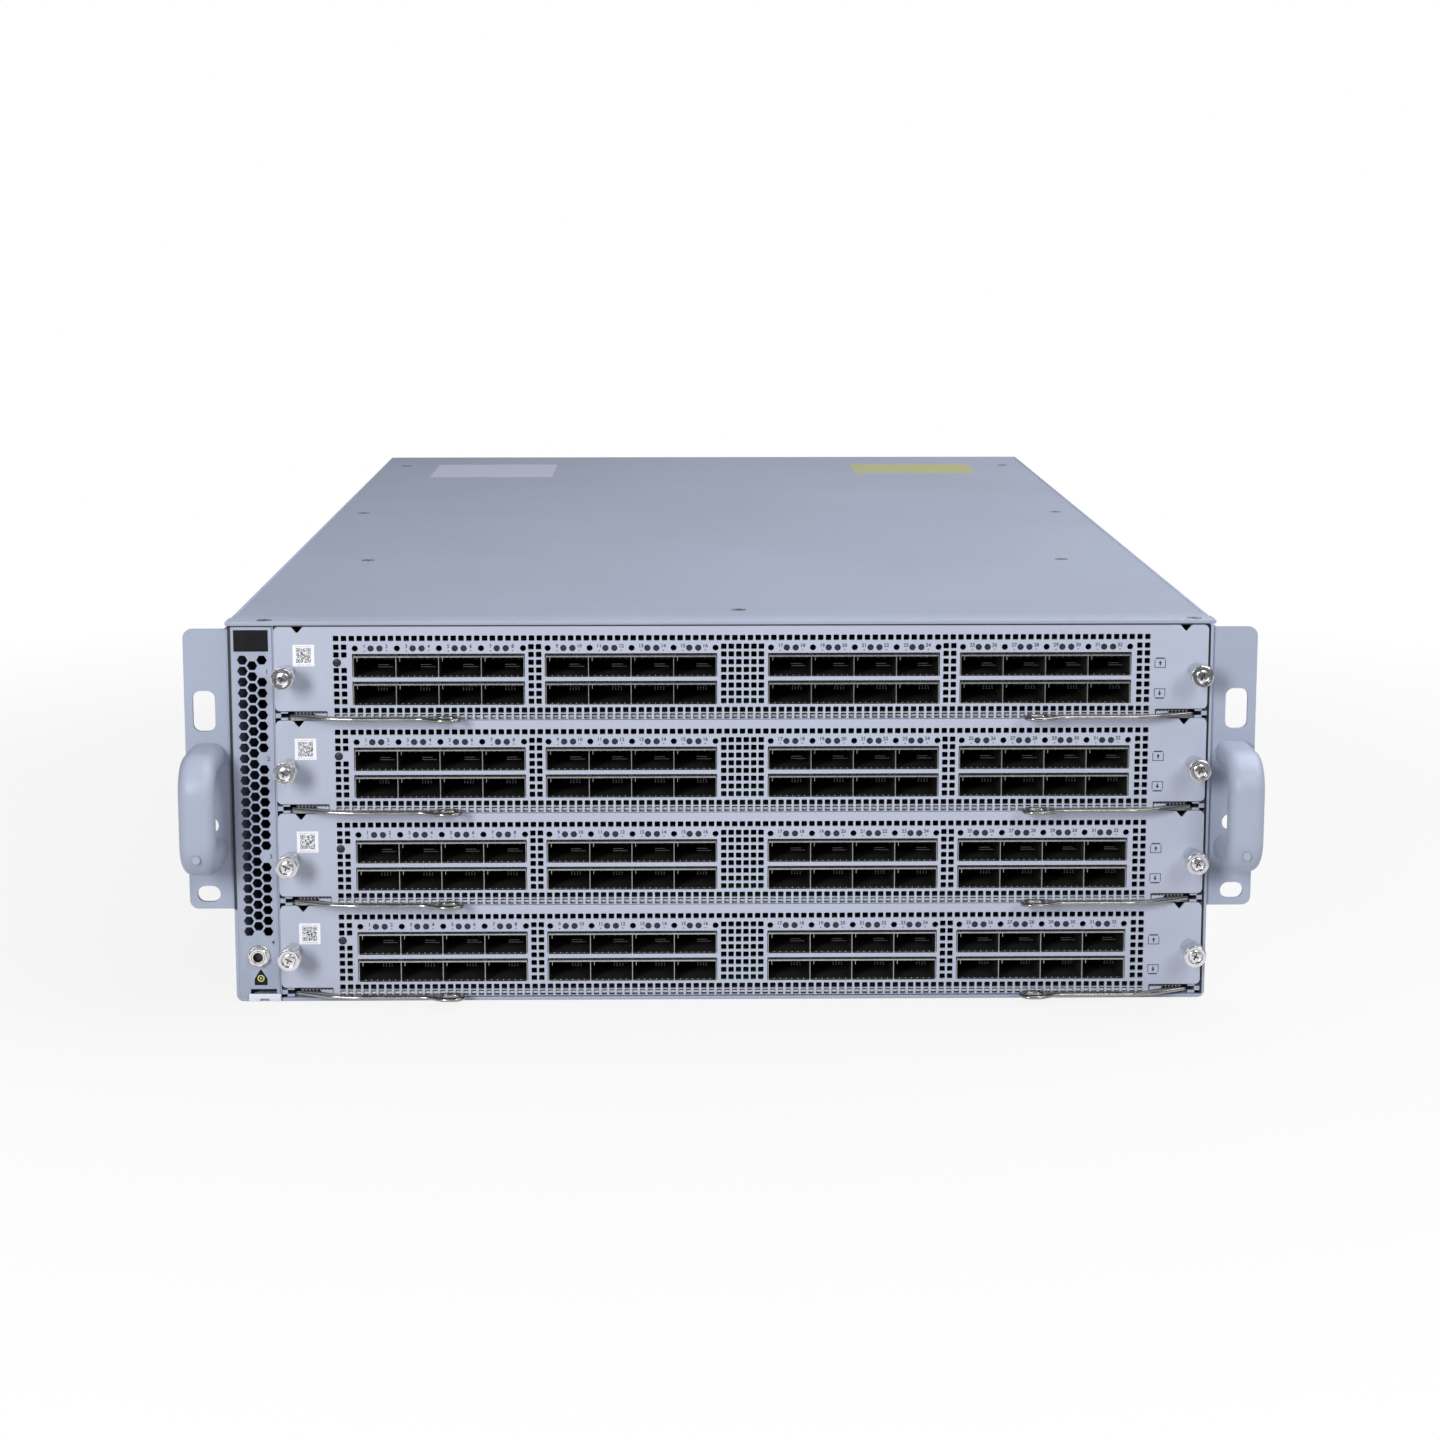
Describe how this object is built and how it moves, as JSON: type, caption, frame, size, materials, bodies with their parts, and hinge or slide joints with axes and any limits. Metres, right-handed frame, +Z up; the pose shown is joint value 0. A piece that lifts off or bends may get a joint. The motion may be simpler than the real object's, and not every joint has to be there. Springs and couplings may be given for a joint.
{
  "type": "ethernet switch",
  "caption": "Modular rack network switch with stacked line cards of pluggable ports, rack ears with handles, ejector levers, and rear fan and power modules.",
  "frame": {"origin": "centre of the underside of the chassis, at half its width and depth", "axes": "+X to the right seen from the front, +Y from the front to the back, +Z up"},
  "size_m": [0.4826, 0.8135, 0.175],
  "materials": {
    "chassis_paint": "light blue-grey powder coat",
    "panel_paint": "light blue-grey powder coat",
    "plated_steel": "zinc-plated sheet",
    "cage_metal": "stamped, tinned",
    "polished_steel": "bright plating",
    "jack_metal": "nickel plating",
    "board": "green solder mask",
    "sink_metal": "extruded",
    "tag_plastic": "white, smooth",
    "module_metal": "zinc-plated sheet",
    "rotor_plastic": "moulded, black"
  },
  "bodies": {
    "chassis": {"chassis_tray": "chassis_paint", "top_cover": "chassis_paint", "vent_column": "chassis_paint", "screw_rail": "chassis_paint", "card_shelves": "chassis_paint", "midplane_board": "board", "main_board": "board", "heat_sink": "sink_metal", "rack_ears": "chassis_paint", "handles": "chassis_paint", "esd_jack": "jack_metal", "rear_frame": "plated_steel"},
    "asset_tag": {"asset_tag": "tag_plastic"},
    "card_1": {"card_1_panel": "panel_paint", "card_1_tray": "plated_steel", "card_1_board": "board", "card_1_cages": "cage_metal"},
    "card_1_lever_left": {"card_1_lever_left": "polished_steel"},
    "card_1_screw_left": {"card_1_screw_left": "polished_steel"},
    "card_1_lever_right": {"card_1_lever_right": "polished_steel"},
    "card_1_screw_right": {"card_1_screw_right": "polished_steel"},
    "card_2": {"card_2_panel": "panel_paint", "card_2_tray": "plated_steel", "card_2_board": "board", "card_2_cages": "cage_metal"},
    "card_2_lever_left": {"card_2_lever_left": "polished_steel"},
    "card_2_screw_left": {"card_2_screw_left": "polished_steel"},
    "card_2_lever_right": {"card_2_lever_right": "polished_steel"},
    "card_2_screw_right": {"card_2_screw_right": "polished_steel"},
    "card_3": {"card_3_panel": "panel_paint", "card_3_tray": "plated_steel", "card_3_board": "board", "card_3_cages": "cage_metal"},
    "card_3_lever_left": {"card_3_lever_left": "polished_steel"},
    "card_3_screw_left": {"card_3_screw_left": "polished_steel"},
    "card_3_lever_right": {"card_3_lever_right": "polished_steel"},
    "card_3_screw_right": {"card_3_screw_right": "polished_steel"},
    "card_4": {"card_4_panel": "panel_paint", "card_4_tray": "plated_steel", "card_4_board": "board", "card_4_cages": "cage_metal"},
    "card_4_lever_left": {"card_4_lever_left": "polished_steel"},
    "card_4_screw_left": {"card_4_screw_left": "polished_steel"},
    "card_4_lever_right": {"card_4_lever_right": "polished_steel"},
    "card_4_screw_right": {"card_4_screw_right": "polished_steel"},
    "fan_1": {"fan_1_case": "module_metal"},
    "fan_1_rotor": {"fan_1_rotor": "rotor_plastic"},
    "fan_2": {"fan_2_case": "module_metal"},
    "fan_2_rotor": {"fan_2_rotor": "rotor_plastic"},
    "fan_3": {"fan_3_case": "module_metal"},
    "fan_3_rotor": {"fan_3_rotor": "rotor_plastic"},
    "power_supply_1": {"power_supply_1": "module_metal"},
    "power_supply_2": {"power_supply_2": "module_metal"},
    "power_supply_3": {"power_supply_3": "module_metal"},
    "power_supply_4": {"power_supply_4": "module_metal"},
    "management_module": {"management_module": "module_metal"}
  },
  "joints": [
    {"name": "asset_tag_pull", "type": "slide", "parent": "chassis", "child": "asset_tag", "axis": [0, -1, 0], "range_m": [0, 0.055]},
    {"name": "card_1_slide", "type": "slide", "parent": "chassis", "child": "card_1", "axis": [0, -1, 0], "range_m": [0, 0.3]},
    {"name": "card_1_lever_left_swing", "type": "hinge", "parent": "card_1", "child": "card_1_lever_left", "pos_m": [-0.18915, -0.375, 0.1322], "axis": [0, 0, -1], "range_deg": [0, 75]},
    {"name": "card_1_screw_left_turn", "type": "hinge", "parent": "card_1", "child": "card_1_screw_left", "pos_m": [-0.19455, -0.39, 0.1521], "axis": [0, 1, 0], "continuous": true},
    {"name": "card_1_lever_right_swing", "type": "hinge", "parent": "card_1", "child": "card_1_lever_right", "pos_m": [0.20785, -0.375, 0.1322], "axis": [0, 0, 1], "range_deg": [0, 75]},
    {"name": "card_1_screw_right_turn", "type": "hinge", "parent": "card_1", "child": "card_1_screw_right", "pos_m": [0.21325, -0.39, 0.1521], "axis": [0, 1, 0], "continuous": true},
    {"name": "card_2_slide", "type": "slide", "parent": "chassis", "child": "card_2", "axis": [0, -1, 0], "range_m": [0, 0.3]},
    {"name": "card_2_lever_left_swing", "type": "hinge", "parent": "card_2", "child": "card_2_lever_left", "pos_m": [-0.18915, -0.375, 0.0895], "axis": [0, 0, -1], "range_deg": [0, 75]},
    {"name": "card_2_screw_left_turn", "type": "hinge", "parent": "card_2", "child": "card_2_screw_left", "pos_m": [-0.19455, -0.39, 0.1094], "axis": [0, 1, 0], "continuous": true},
    {"name": "card_2_lever_right_swing", "type": "hinge", "parent": "card_2", "child": "card_2_lever_right", "pos_m": [0.20785, -0.375, 0.0895], "axis": [0, 0, 1], "range_deg": [0, 75]},
    {"name": "card_2_screw_right_turn", "type": "hinge", "parent": "card_2", "child": "card_2_screw_right", "pos_m": [0.21325, -0.39, 0.1094], "axis": [0, 1, 0], "continuous": true},
    {"name": "card_3_slide", "type": "slide", "parent": "chassis", "child": "card_3", "axis": [0, -1, 0], "range_m": [0, 0.3]},
    {"name": "card_3_lever_left_swing", "type": "hinge", "parent": "card_3", "child": "card_3_lever_left", "pos_m": [-0.18915, -0.375, 0.0468], "axis": [0, 0, -1], "range_deg": [0, 75]},
    {"name": "card_3_screw_left_turn", "type": "hinge", "parent": "card_3", "child": "card_3_screw_left", "pos_m": [-0.19455, -0.39, 0.0667], "axis": [0, 1, 0], "continuous": true},
    {"name": "card_3_lever_right_swing", "type": "hinge", "parent": "card_3", "child": "card_3_lever_right", "pos_m": [0.20785, -0.375, 0.0468], "axis": [0, 0, 1], "range_deg": [0, 75]},
    {"name": "card_3_screw_right_turn", "type": "hinge", "parent": "card_3", "child": "card_3_screw_right", "pos_m": [0.21325, -0.39, 0.0667], "axis": [0, 1, 0], "continuous": true},
    {"name": "card_4_slide", "type": "slide", "parent": "chassis", "child": "card_4", "axis": [0, -1, 0], "range_m": [0, 0.3]},
    {"name": "card_4_lever_left_swing", "type": "hinge", "parent": "card_4", "child": "card_4_lever_left", "pos_m": [-0.18915, -0.375, 0.0041], "axis": [0, 0, -1], "range_deg": [0, 75]},
    {"name": "card_4_screw_left_turn", "type": "hinge", "parent": "card_4", "child": "card_4_screw_left", "pos_m": [-0.19455, -0.39, 0.024], "axis": [0, 1, 0], "continuous": true},
    {"name": "card_4_lever_right_swing", "type": "hinge", "parent": "card_4", "child": "card_4_lever_right", "pos_m": [0.20785, -0.375, 0.0041], "axis": [0, 0, 1], "range_deg": [0, 75]},
    {"name": "card_4_screw_right_turn", "type": "hinge", "parent": "card_4", "child": "card_4_screw_right", "pos_m": [0.21325, -0.39, 0.024], "axis": [0, 1, 0], "continuous": true},
    {"name": "fan_1_slide", "type": "slide", "parent": "chassis", "child": "fan_1", "axis": [0, 1, 0], "range_m": [0, 0.08]},
    {"name": "fan_1_spin", "type": "hinge", "parent": "fan_1", "child": "fan_1_rotor", "pos_m": [-0.1455, 0.365, 0.1078], "axis": [0, 1, 0], "continuous": true},
    {"name": "fan_2_slide", "type": "slide", "parent": "chassis", "child": "fan_2", "axis": [0, 1, 0], "range_m": [0, 0.08]},
    {"name": "fan_2_spin", "type": "hinge", "parent": "fan_2", "child": "fan_2_rotor", "pos_m": [0, 0.365, 0.1078], "axis": [0, 1, 0], "continuous": true},
    {"name": "fan_3_slide", "type": "slide", "parent": "chassis", "child": "fan_3", "axis": [0, 1, 0], "range_m": [0, 0.08]},
    {"name": "fan_3_spin", "type": "hinge", "parent": "fan_3", "child": "fan_3_rotor", "pos_m": [0.1455, 0.365, 0.1078], "axis": [0, 1, 0], "continuous": true},
    {"name": "power_supply_1_slide", "type": "slide", "parent": "chassis", "child": "power_supply_1", "axis": [0, 1, 0], "range_m": [0, 0.28]},
    {"name": "power_supply_2_slide", "type": "slide", "parent": "chassis", "child": "power_supply_2", "axis": [0, 1, 0], "range_m": [0, 0.28]},
    {"name": "power_supply_3_slide", "type": "slide", "parent": "chassis", "child": "power_supply_3", "axis": [0, 1, 0], "range_m": [0, 0.28]},
    {"name": "power_supply_4_slide", "type": "slide", "parent": "chassis", "child": "power_supply_4", "axis": [0, 1, 0], "range_m": [0, 0.28]},
    {"name": "management_module_slide", "type": "slide", "parent": "chassis", "child": "management_module", "axis": [0, 1, 0], "range_m": [0, 0.17]}
  ]
}
